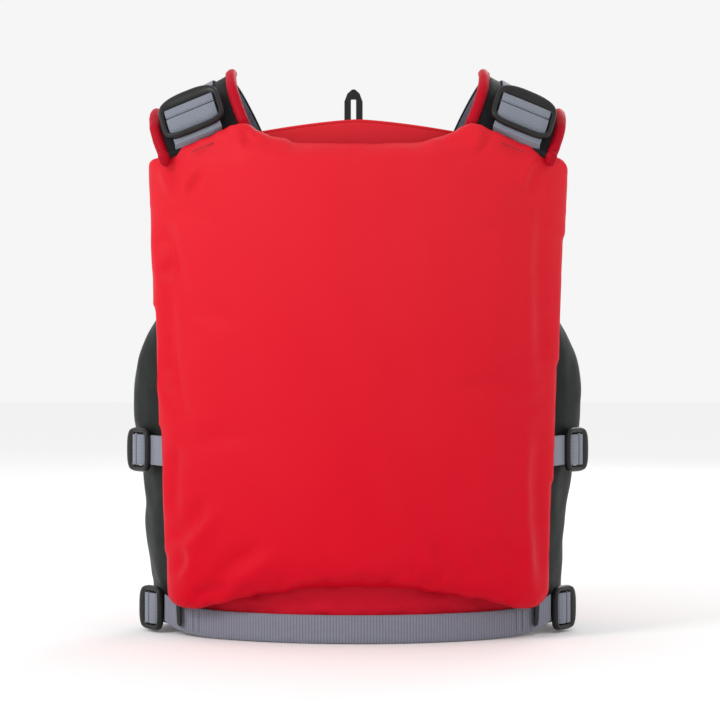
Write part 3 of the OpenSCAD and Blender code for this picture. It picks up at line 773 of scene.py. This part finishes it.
ARM_HOLE = [[200, 310], [172, 334], [152, 366], [146, 405], [150, 442]]
NECK = [[84, 454], [68, 428], [44, 400], [18, 383]]
FRONT_FOLDS = {
    "left": [(60, 60, 40, 120, 2.2, 9), (120, 330, 90, 280, 2.2, 9), (150, 60, 120, 110, 2.0, 9),
             (20, 330, 45, 290, 1.6, 7), (130, 430, 112, 380, 1.8, 7), (100, 200, 60, 215, 1.4, 8),
             (190, 260, 165, 215, 2.2, 8), (30, 240, 24, 200, 1.4, 6)],
    "right": [(-52, 48, -30, 104, 2.0, 9), (-110, 340, -84, 296, 2.4, 9), (-160, 70, -132, 126, 2.2, 9),
              (-24, 350, -48, 312, 1.5, 7), (-128, 436, -114, 392, 1.6, 7), (-96, 222, -50, 206, 1.6, 8),
              (-192, 280, -168, 228, 2.2, 8), (-140, 250, -110, 232, 1.4, 8)],
}


def arc_length(x):
    """The distance round a front panel's outer face, from the middle to where X is x."""
    x = np.asarray(x, float)
    a = np.arcsin(np.clip((x - BEND_X) / BEND_R, 0, math.sin(BEND_A)))
    return np.where(x < BEND_X, x, BEND_X + BEND_R * a)


def on_front(s, z, k):
    """A point of a front panel: s round it, z up, k through it."""
    a = np.clip((s - BEND_X) / BEND_R, 0, None)
    r = BEND_R - FRONT_THICK / 2 + np.where(k > 0, k * 0.92, k * 0.9) * FRONT_THICK / 2
    return np.stack([np.minimum(s, BEND_X) + r * np.sin(a), BEND_Y - r * np.cos(a), z], axis=1)


def front_panels():
    foot = 4.0                # the panel swells down towards the floor
    outline = [(8, foot), (60, foot), (120, foot), (178, foot + 1), (198, 12), (205.1, 24)]
    outline += [(205.1, z) for z in range(60, 300, 40)]
    outline += [(205.1, 300)] + [tuple(p) for p in smooth_path(ARM_HOLE, 4)]
    outline += [(146, 444), (92, 459)] + [tuple(p) for p in smooth_path(NECK, 4)] + [(8, 379)]
    outline = np.array(outline, float)
    outline[:, 0] = arc_length(outline[:, 0])

    def seam(s, z):
        near_zip = np.clip(1 - (s - 8) / 16, 0, 1)
        near_strap = np.clip((z - 400) / 45, 0, 1)
        return 0.45 * np.maximum(near_zip, near_strap) - 0.05

    panel, face = quilt("front_cushion_left", outline, on_front, seam, RED)
    puff(panel, np.flatnonzero(face == 0))
    lining = lining_of("front_lining_cloth_left", panel, face)
    smoothed(panel)
    for name, side in SIDES:
        body = "front_" + name
        if side < 0:
            panel = mirror_copy(panel, "front_cushion_right")
            lining = mirror_copy(lining, "front_lining_cloth_right")
        folded(panel, FRONT_FOLDS[name], (0.35 * side, -0.9, 0))
        pressed(panel, side)
        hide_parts("front_shell_" + name, "front_foam_" + name)
        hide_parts("front_lining_" + name)
        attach(panel, body)
        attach(lining, body)


def pressed(piece, side):
    """The chest strap lies in the cushion it is sewn to."""
    co = coordinates(piece) / MM
    past = np.clip(side * co[:, 0] - BEND_X, 0, None)
    ahead = BEND_Y - co[:, 1]
    r = np.where(ahead > 0, np.hypot(past, ahead), 0)
    beside = np.clip((np.abs(co[:, 2] - CHEST_Z) - BELT_W / 2 - 0.5) / 17, 0, 1)
    excess = r - (BEND_R - 0.6 + 8 * beside * beside * (3 - 2 * beside))
    k = np.where((excess > 0) & (beside < 1), 1 - excess / np.maximum(r, 1), 1)
    co[:, 0] = np.where(past > 0, side * (BEND_X + past * k), co[:, 0])
    co[:, 1] = BEND_Y - ahead * k
    set_coordinates(piece, co * MM)


def mirror_copy(piece, name):
    """The same mesh on the other side of the middle plane."""
    other = piece.copy()
    other.data = piece.data.copy()
    other.name = name
    bpy.context.scene.collection.objects.link(other)
    set_coordinates(other, coordinates(other) * [-1, 1, 1])
    other.data.flip_normals()
    return other


# ---------------------------------------------------------------- side panels

def side_face(z, steps):
    """The side panel's outer face, with the turn that is sewn to the back's inner face."""
    x = back_edge(z) - SIDE_TURN
    return np.vstack([[[x, arc_y(BACK_INSIDE, x) + 0.5]], side_curve(z, steps)])


def side_panels():
    columns = 34
    for name, side in SIDES:
        rings, uv = [], []
        for z in np.linspace(SIDE_BOTTOM_Z + 6, SIDE_TOP_Z, 70):
            curve = resample(side_face(z, 8), 3.2)
            share = np.linspace(0, 1, columns), np.linspace(0, 1, len(curve))
            flat = abs(z - CHEST_Z) < 24 or z < 50     # where a strap lies on it
            ring = []
            for j, (x, y) in enumerate(np.stack([np.interp(*share, curve[:, k]) for k in range(2)], axis=1)):
                inner = math.sin(math.pi * j / (columns - 1))
                wave = ripple(y * 0.035, z * 0.013 + 4 * side, 2.0 + side)
                wave += 0.5 * ripple(y * 0.05 + z * 0.02, z * 0.03, 7.0 + side)
                sink = -1.8 + 3.4 * wave * inner
                if side > 0:
                    sink += 6.5 * math.exp(-((z - 100) / 42) ** 2) * inner
                ring.append((side * (x + (min(sink, -1.4) if flat else sink)), y, z))
                uv.append((y, z))
            rings.append(ring)
        piece = loft("side_panel_cloth_" + name, rings, CHARCOAL, uv, closed=False)
        modified(piece, "SOLIDIFY", thickness=1.6 * MM, offset=0)
        modified(piece, "SUBSURF", levels=1, render_levels=1)
        applied(piece)
        top = mirrored([(x, y, SIDE_TOP_Z) for x, y in side_face(SIDE_TOP_Z, 10)], side) - [side * 1.8, 0, 0]
        hem = strip("side_panel_hem_" + name, resample(top, 2.5), [1, 0, 0], oval(2.2, 2.6), BLACK)
        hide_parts("side_panel_" + name)
        for p in (piece, hem):
            bend_with_side(p)


def bend_with_side(piece):
    """Bakes a side piece's placement into its mesh. It is not bent with the back and the fronts."""
    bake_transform(piece)


# ---------------------------------------------------------------- shoulders

def shoulders():
    edge = PAD_W / 2
    roll = oval(BINDING_W / 2 + 0.2, 5.4, -1.6, 18)
    for name, side in SIDES:
        line, across = shoulder_part(-0.035, CREST)
        back_line, back_across = mirrored(line, side), mirrored(across, side)
        channel = [(c, -0.6 - 0.8 * (1 - (c / edge) ** 2)) for c in np.linspace(-edge - 2, edge + 2, 15)]
        below = [(c, -PAD_T) for c in np.linspace(edge + 2, -edge - 2, 7)]
        turned = back_across * side
        pad = strip("shoulder_channel_" + name, back_line, turned, channel + below, BLACK)
        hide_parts("shoulder_pad_" + name)
        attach(pad, "back")
        rolls = []
        for k in (-1, 1):
            line_k, across_k = shoulder_part(-0.07 if k > 0 else -0.05, CREST - (0.025 if k < 0 else 0.05))
            centre = line_k + across_k * k * (edge + BINDING_W / 2 - (3.4 if k > 0 else 0.3))
            rolls.append(rounded_roll("roll", mirrored(centre, side), mirrored(across_k, side) * side,
                                      roll, 5 + k + side))
        binding = join("shoulder_roll_" + name, rolls)
        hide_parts("shoulder_binding_" + name)
        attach(binding, "back")
        seams = []
        for k in (-1, 1):
            inner = line + across * k * (edge + 1.6)
            up = unit(np.cross(tangents(line), across))
            rows = mirrored_pairs(inner + up * 2.1, up - 0.8 * k * across, side)
            seams.append(stitches("seam", rows, RED_THREAD))
        seam = join("shoulder_seam_" + name, seams)
        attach(seam, "back")
        front_strap_and_web(name, side)


def mirrored_pairs(points, outs, side):
    return np.hstack([mirrored(points, side), mirrored(outs, side)])


def rounded_roll(name, path, across, section, seed):
    """A rolled edge binding with slight puckers, closed round at both ends."""
    section = np.asarray(section, float)
    middle = section.mean(0)
    t = tangents(path)
    up = unit(np.cross(t, across))
    rings = []
    n = len(path)
    for i in range(n):
        from_end = min(i, n - 1 - i) * 2.0
        k = math.sqrt(1 - (1 - min(from_end / 5.0, 1)) ** 2) * 0.96 + 0.04
        pucker = 1 + 0.045 * noise.noise(Vector((i * 0.35, seed, 0.5)))
        s = middle + (section - middle) * k * pucker
        rings.append(path[i] + across[i] * s[:, :1] + up[i] * s[:, 1:])
    piece = loft(name, rings, BINDING_RED)
    return smoothed(piece)


def front_strap_and_web(name, side):
    """The grey-lined strap and the webbing that run over the crest to the front panel."""
    edge = PAD_W / 2
    line, across = shoulder_part(CREST - 0.015, 1.0)
    top = [(c, -0.6) for c in np.linspace(-edge + 1, edge - 1, 9)]
    bottom = [(c, -PAD_T - 0.6 * (1 - (c / edge) ** 2)) for c in np.linspace(edge - 1, -edge + 1, 9)]
    section = top + [(edge, -PAD_T / 2)] + bottom + [(-edge, -PAD_T / 2)]
    strap = strip("shoulder_strap_pad_" + name, mirrored(line, side), mirrored(across, side) * side, section,
                  [LINING, BLACK])
    up = unit(np.cross(tangents(line), across)).mean(0) * [side, 1, 1]
    for p in strap.data.polygons:
        p.material_index = 1 if np.dot(p.normal, up) > 0.25 else 0
    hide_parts("shoulder_strap_" + name)
    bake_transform(strap)
    pipes = []
    for k in (-1, 1):
        centre = line + across * k * (edge + 0.4)
        pipes.append(strip("pipe", mirrored(centre, side), mirrored(across, side) * side,
                           oval(1.0, 2.6, -2.8), BLACK))
    piping = join("shoulder_strap_edge_" + name, pipes)
    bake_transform(piping)

    lock = LOCKS["shoulder_lock_" + name]
    line, across = shoulder_part(WEB_START, WEB_END, 1.0)
    web = webbing("shoulder_webbing_" + name, mirrored(line, side), mirrored(across, side) * side,
                  SHOULDER_WEB_W, SHOULDER_WEBBING, base=0.3, ribbed=False)
    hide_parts("shoulder_web_" + name)
    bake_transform(web)
    # the stretch from under the lock's thumb tab to the webbing above
    tab_end = lock.out(0, 12, 1.0)
    upper = mirrored(line[0] + unit(np.cross(tangents(line), across))[0] * (0.3 + WEB_T / 2), side)
    slack = [tab_end, lock.out(0, 17, 0.9), mix(lock.out(0, 21, 1.2), upper, 0.5), upper,
             upper + (mirrored(line[3], side) - mirrored(line[0], side))]
    slack_path = resample(smooth_path(slack, 5), 1.0)
    piece = strip("shoulder_webbing_slack_" + name, slack_path, mirrored(across[0], side),
                  flat_section(SHOULDER_WEB_W - 0.2, WEB_T - 0.2, -WEB_T / 2 + 0.1), SHOULDER_WEBBING)
    tuple(lock.out(0, 14, 1) * MM)
    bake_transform(piece)
    # the lower webbing, sewn in under the cushion's edge
    edge = lock.out(0, -lock.length / 2 - 3, -0.6)
    foot = edge + [0, -13, -12]
    path = resample([foot, edge, lock.out(0, -lock.length / 2 + 3, 1.4)], 1.0)
    low = strip("shoulder_webbing_foot_" + name, path, lock.u,
                flat_section(SHOULDER_WEB_W, WEB_T, -WEB_T / 2), SHOULDER_WEBBING)
    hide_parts("shoulder_anchor_web_" + name)
    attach(low, "back")


# ---------------------------------------------------------------- ladder locks

class Lock:
    """Where a ladder lock lies: its body, its pivot's joint and its own three directions."""

    def __init__(self, body, web, t, n, side):
        joint = next(j for j in frame["joints"] if j["child"] == body)
        self.body, self.web, self.side = body, web, side
        self.length = 25.4 + web * 0.42
        self.width = web + 2 * LOCK_RAIL + 1.5
        self.t, self.n = mirrored(t, side), mirrored(n, side)
        self.u = unit(np.cross(self.t, self.n))
        anchor = -self.length / 2 + 3.2
        self.at = np.array(joint["pos_m"]) / MM - self.t * anchor - self.n * LOCK_H / 2

    def out(self, x, y, z):
        """A point or points of the lock's own x, y, z in the row frame."""
        x, y, z = (np.asarray(v, float)[..., None] for v in (x, y, z))
        return self.at + x * self.u + y * self.t + z * self.n


def find_locks():
    line = SHOULDER_LINE
    t = unit(line[11] - line[5])
    slope = math.radians(SLOPE * (1 - 0.4 * 8 / 48))
    u = np.array([math.cos(slope), 0, -math.sin(slope)])
    u = unit(u - t * (u @ t))
    side_t = np.array([math.cos(LOCK_LEAN), -math.sin(LOCK_LEAN), 0])
    side_n = np.array([math.sin(LOCK_LEAN), math.cos(LOCK_LEAN), 0])
    locks = {}
    for name, side in SIDES:
        body = "shoulder_lock_" + name
        locks[body] = Lock(body, SHOULDER_WEB_W, t, unit(np.cross(t, u)), side)
        for level in ("chest", "waist"):
            body = f"{level}_lock_{name}"
            locks[body] = Lock(body, BELT_W, side_t, side_n, side)
    return locks


def rounded_box(theta, half_x, half_y, power):
    c, s = np.cos(theta), np.sin(theta)
    return np.sign(c) * half_x * np.abs(c) ** (2 / power), np.sign(s) * half_y * np.abs(s) ** (2 / power)


def lock_frame(lock):
    """The moulded frame: a rounded ring with a raised, arched thumb tab at one end."""
    theta = np.linspace(0, 2 * math.pi, 97)[:-1] + 0.01
    outer_x, outer_y = rounded_box(theta, lock.width / 2, lock.length / 2, 4.2)
    bar, tab = 7.4, 9.0
    window_low, window_high = -lock.length / 2 + bar, lock.length / 2 - tab
    inner_x, inner_y = rounded_box(theta, lock.web / 2 + 1.0, (window_high - window_low) / 2, 9)
    inner_y = inner_y + (window_high + window_low) / 2
    raised = np.clip(np.sin(theta) * 1.6, 0, 1) ** 2
    across = 1 - (outer_x / (lock.width / 2)) ** 2
    outer_y = outer_y + raised * across * lock.web * 0.10
    low_bow = np.clip(-np.sin(theta) * 1.5, 0, 1) ** 2 * across
    inner_y = inner_y - low_bow * 1.2
    profile = [(0.0, 0.34), (0.05, 0.72), (0.28, 1.0), (0.62, 1.0),
               (0.92, 0.78), (1.0, 0.4), (0.88, 0.05), (0.14, 0.0)]
    rings = []
    for i in range(len(theta)):
        ring = []
        for f, h in profile:
            x = outer_x[i] * (1 - f) + inner_x[i] * f
            y = outer_y[i] * (1 - f) + inner_y[i] * f
            low = 0.2 + 2.6 * raised[i]
            high = LOCK_H + 0.6 + 1.3 * raised[i] * (1 - f) + 0.4 * low_bow[i]
            ring.append(lock.out(x, y, low + (high - low) * h))
        rings.append(ring)
    rings = np.array(rings + rings[:1])
    piece = loft("frame", rings, LOCK_PLASTIC, caps=False)
    modified(piece, "WELD", merge_threshold=0.00005)
    return smoothed(piece)


def lock_bar(lock, y, r, z):
    half = lock.web / 2 + 2
    angles = np.linspace(0, 2 * math.pi, 13)[:-1]
    rings = [[lock.out(x, y + r * math.cos(a), z + r * math.sin(a)) for a in angles]
             for x in np.linspace(-half, half, 5)]
    return loft("bar", rings, LOCK_PLASTIC)


# the webbing's route through a lock, along it and up from it
WEAVE = [(-18, 1.6), (-14.6, 4.4), (-11, 6.2), (-5, 6.9), (-0.8, 6.7), (0.9, 5.6), (1.6, 3.0),
         (2.3, 3.0), (3.0, 5.6), (4.6, 6.7), (9, 6.6), (12.6, 5.4), (14.8, 2.9), (17, 1.4)]
WEAVE_LOCK_LENGTH = 46.4      # of the lock that the route is listed for


def ladder_locks():
    for body, lock in LOCKS.items():
        level, _, name = body.split("_")
        bars = [lock_bar(lock, -6, 1.3, LOCK_H / 2), lock_bar(lock, 1.6, 1.1, LOCK_H - 1.2)]
        frame_piece = join(f"{level}_lock_moulding_{name}", [lock_frame(lock)] + bars)
        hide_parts(f"{level}_ladderlock_{name}")
        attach(frame_piece, body)
        size = lock.length / WEAVE_LOCK_LENGTH
        wave = smooth_path([(y * size, z) for y, z in WEAVE], 5)
        path = lock.out(0, wave[:, 0], wave[:, 1])
        weave = strip(f"{level}_lock_webbing_{name}", path, lock.u,
                      flat_section(lock.web + 1.2, 1.3, -0.65), SHOULDER_WEBBING)
        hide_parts(f"{level}_weave_{name}")
        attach(weave, body)


# ---------------------------------------------------------------- straps round the front

def straps():
    for name, side in SIDES:
        for level, z in (("chest", CHEST_Z), ("waist", WAIST_Z)):
            lock = LOCKS[f"{level}_lock_{name}"]
            curve = side_curve(z, 5)
            path = [(x + 1.4, y, z) for x, y in curve[9:15]]
            path += [(BEND_X + (BEND_R + 0.9) * math.sin(a), BEND_Y - (BEND_R + 0.9) * math.cos(a), z)
                     for a in np.radians(np.arange(61, 0, -4))]
            last_x = 56 if side > 0 else 34
            path += [(last_x, -FRONT_Y - 0.9, z)]
            if side > 0:      # the left strap is looped through the socket's end slot
                path += [(52.5, -FRONT_Y - 3.0, z), (50.6, -139, z), (50.3, -144, z), (49.2, -146.8, z),
                         (47, -147.3, z), (44.9, -146.4, z), (44.3, -143, z), (44.2, -138, z)]
            path = mirrored(smooth_path(path, 4), side)
            strap = webbing(f"{level}_strap_webbing_{name}", path, UP * side, BELT_W, WEBBING, base=-WEB_T)
            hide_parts(f"{level}_strap_{name}")
            bend_with_side(strap)
            # the stretch from under the lock's thumb tab to the strap
            first = path[0] - unit(np.cross(unit(path[1] - path[0]), UP * side)) * WEB_T / 2
            second = path[3] - unit(np.cross(unit(path[4] - path[3]), UP * side)) * WEB_T / 2
            slack = smooth_path([lock.out(0, 11, 1.0), lock.out(0, 14.5, 0.8), first, second], 6)
            piece = strip(f"{level}_strap_slack_{name}", resample(slack, 1.0), UP,
                          flat_section(BELT_W - 0.2, WEB_T - 0.2, -WEB_T / 2 + 0.1), WEBBING)
            tuple(lock.out(0, 12, 1) * MM)
            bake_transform(piece)
        lock = LOCKS["chest_lock_" + name]
        foot = np.array([side * (back_edge(CHEST_Z) - 4), 70, CHEST_Z])
        knee = np.array([side * (back_edge(CHEST_Z) + 3.5), 58, CHEST_Z])
        rear = -lock.length / 2
        path = smooth_path([foot, knee, lock.out(0, rear - 4, 1.2), lock.out(0, rear + 4, 1.4)], 8)
        web = webbing("chest_webbing_foot_" + name, path, UP, BELT_W, WEBBING, base=-WEB_T / 2)
        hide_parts("chest_anchor_web_" + name)
        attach(web, "back")


def strap_tails():
    """The free end of each right strap, threaded through its plug and back along the strap."""
    plug_x, plug_y = -61, -135
    route = [(16.9, 1.7), (16.9, 6.5), (14.8, 9.7), (11.5, 10.1), (8.2, 9.7), (6.3, 6.5), (6, 3.2),
             (2, 2.6), (-10, 2.5), (-28, 2.5), (-44, 2.6)]
    for level, z in (("chest", CHEST_Z), ("waist", WAIST_Z)):
        path = smooth_path([(plug_x + x, plug_y - out, z) for x, out in route], 6)
        tail = webbing(f"{level}_strap_end_webbing", path, UP, BELT_W - 0.4, WEBBING, thick=1.3, base=-0.65)
        hem = webbing("hem", path[-14:], UP, BELT_W - 0.6, WEBBING, thick=1.2, base=0.7)
        piece = join(f"{level}_strap_end_webbing", [tail, hem])
        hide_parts(f"{level}_strap_tail")
        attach(piece, level + "_plug")


# ---------------------------------------------------------------- zip

ZIP_Y = -120.5                # the middle plane of the zip
TOOTH_PITCH = 2.4


def zip_pieces():
    for name, side in SIDES:
        low, high = box("zip_tape_" + name)
        tape_path = resample([(6 * side, ZIP_Y, low[2]), (6 * side, ZIP_Y, high[2])], 3)
        tape = strip("zip_tape_cloth_" + name, tape_path, [1, 0, 0], flat_section(5.6, 0.9, -0.45), ZIP_TAPE)
        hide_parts("zip_tape_" + name)
        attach(tape, "front_" + name)
        low, high = box("zip_teeth_" + name)
        points, faces = [], []
        start = low[2] + (0 if side > 0 else TOOTH_PITCH / 2)
        for z in np.arange(start, high[2] - 2, TOOTH_PITCH):
            inner, outer = 0.95 * side, 3.3 * side
            base = len(points)
            for x, hy, hz in ((outer, 1.5, 0.5), (mix(outer, inner, 0.6), 1.4, 0.5), (inner, 1.1, 0.85)):
                corners = ((-hy, -hz), (hy, -hz), (hy, hz), (-hy, hz))
                points += [(x, ZIP_Y + dy, z + 1.0 + dz) for dy, dz in corners]
            for ring in (0, 4):
                for k in range(4):
                    a, b = base + ring + k, base + ring + (k + 1) % 4
                    faces.append((a, b, b + 4, a + 4))
            faces += [(base, base + 3, base + 2, base + 1), (base + 8, base + 9, base + 10, base + 11)]
        teeth = new_piece("zip_teeth_row_" + name, points, faces, ZIP_PLASTIC, smooth=False)
        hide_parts("zip_teeth_" + name)
        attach(teeth, "front_" + name)


# ---------------------------------------------------------------- carried CAD nodes

def moulded_nodes():
    """Hardware whose CAD shape is right gets rounded edges and its plastic."""
    buckles = [f"{level}_{part}" for level in ("chest", "waist")
               for part in ("buckle_socket", "buckle_plug", "prong_upper", "prong_lower")]
    for names, material, width in ((buckles, PLASTIC, 0.9), (["zip_slider", "zip_pull"], ZIP_PLASTIC, 0.35),
                                   (["hang_loop"], BLACK_WEBBING, 0.7)):
        for name in names:
            node = frame["nodes"][name]
            node.data.materials.clear()
            node.data.materials.append(material)
            modified(node, "WELD", merge_threshold=0.00002)
            modified(node, "BEVEL", width=width * MM, segments=3, limit_method="ANGLE",
                     angle_limit=math.radians(35), harden_normals=False)
            modified(node, "WEIGHTED_NORMAL")
            node.data.polygons.foreach_set("use_smooth", [True] * len(node.data.polygons))


# ---------------------------------------------------------------- stitching

def seams():
    """Rows of stitches that hold the webbing and panels."""
    rows = []
    for name, side in SIDES:
        line, across = shoulder_part(0.0, 0.02)
        ends = [line[0] + across[0] * c + [0, 12.5, -9.0] for c in (-14, 12)]
        path = resample(ends, 2)
        outs = np.tile([0, 1, 0.2], (len(path), 1))
        rows.append(stitches("tack", mirrored_pairs(path, outs, side), BLACK_THREAD, 2.2, 3.0, 0.4, 1.0))
    piece = join("shoulder_tack_stitches", rows)
    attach(piece, "back")
    ends = []
    for side in (-1, 1):
        for a in np.radians((36.5, 38.2)):      # two rows, near each end of the belt
            out = np.array([side * math.sin(a), math.cos(a), 0])
            foot = np.array([0, BELT_ARC[0] - BELT_ARC[1], 0]) + out * (BELT_ARC[1] + 1.7)
            path = [foot + UP * z for z in np.linspace(3.5, 28, 12)]
            rows = np.hstack([path, np.tile(out, (len(path), 1))])
            ends.append(stitches("bar", rows, GREY_THREAD, 2.0, 2.8, 0.3, 0.1))
    piece = join("belt_stitches", ends)
    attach(piece, "back")


# ---------------------------------------------------------------- stage, light, camera

def stage():
    half = 12.0
    corners = [(x * half, y * half, 0) for x, y in ((-1, -1), (1, -1), (1, 1), (-1, 1))]
    mesh = bpy.data.meshes.new("floor")
    mesh.from_pydata(corners, [], [(0, 1, 2, 3)])
    floor = bpy.data.objects.new("floor", mesh)
    floor.location.z = -0.0006
    bpy.context.scene.collection.objects.link(floor)
    s = Surface("pale_floor", (0.96, 0.96, 0.96, 1), 0.8, specular=0.0)
    mesh.materials.append(s.material)
    world = bpy.data.worlds.new("studio")
    bpy.context.scene.world = world
    world.use_nodes = True
    background = world.node_tree.nodes["Background"]
    background.inputs["Color"].default_value = (1, 1, 1, 1)
    background.inputs["Strength"].default_value = 0.92
    lamp("key", (2.1, 1.7, 1.7), (0, 0.1, 0.30), 0.8, 30)
    lamp("fill", (-2.2, 1.8, 1.0), (0, 0, 0.28), 1.6, 2)
    lamp("front_key", (-1.0, -2.4, 2.0), (0, -0.1, 0.30), 1.1, 18)


def lamp(name, at, aim, size, power):
    data = bpy.data.lights.new(name, "AREA")
    data.size = size
    data.energy = power
    light = bpy.data.objects.new(name, data)
    light.location = at
    light.rotation_euler = (Vector(aim) - Vector(at)).to_track_quat("-Z", "Y").to_euler()
    bpy.context.scene.collection.objects.link(light)


def camera():
    data = bpy.data.cameras.new("camera")
    data.sensor_width = 36
    data.lens = 108.8
    data.clip_start, data.clip_end = 0.05, 60
    cam = bpy.data.objects.new("camera", data)
    cam.location = (-0.0024, 2.24, 0.276)
    cam.rotation_euler = (math.radians(90), 0, math.radians(180))
    bpy.context.scene.collection.objects.link(cam)
    bpy.context.scene.camera = cam
    bpy.context.scene.view_settings.view_transform = "Standard"


# ---------------------------------------------------------------- the jacket

LOCKS = find_locks()
camera()
stage()
back_panel()
skirt()
belt()
yoke()
front_panels()
side_panels()
shoulders()
ladder_locks()
straps()
strap_tails()
zip_pieces()
moulded_nodes()
seams()
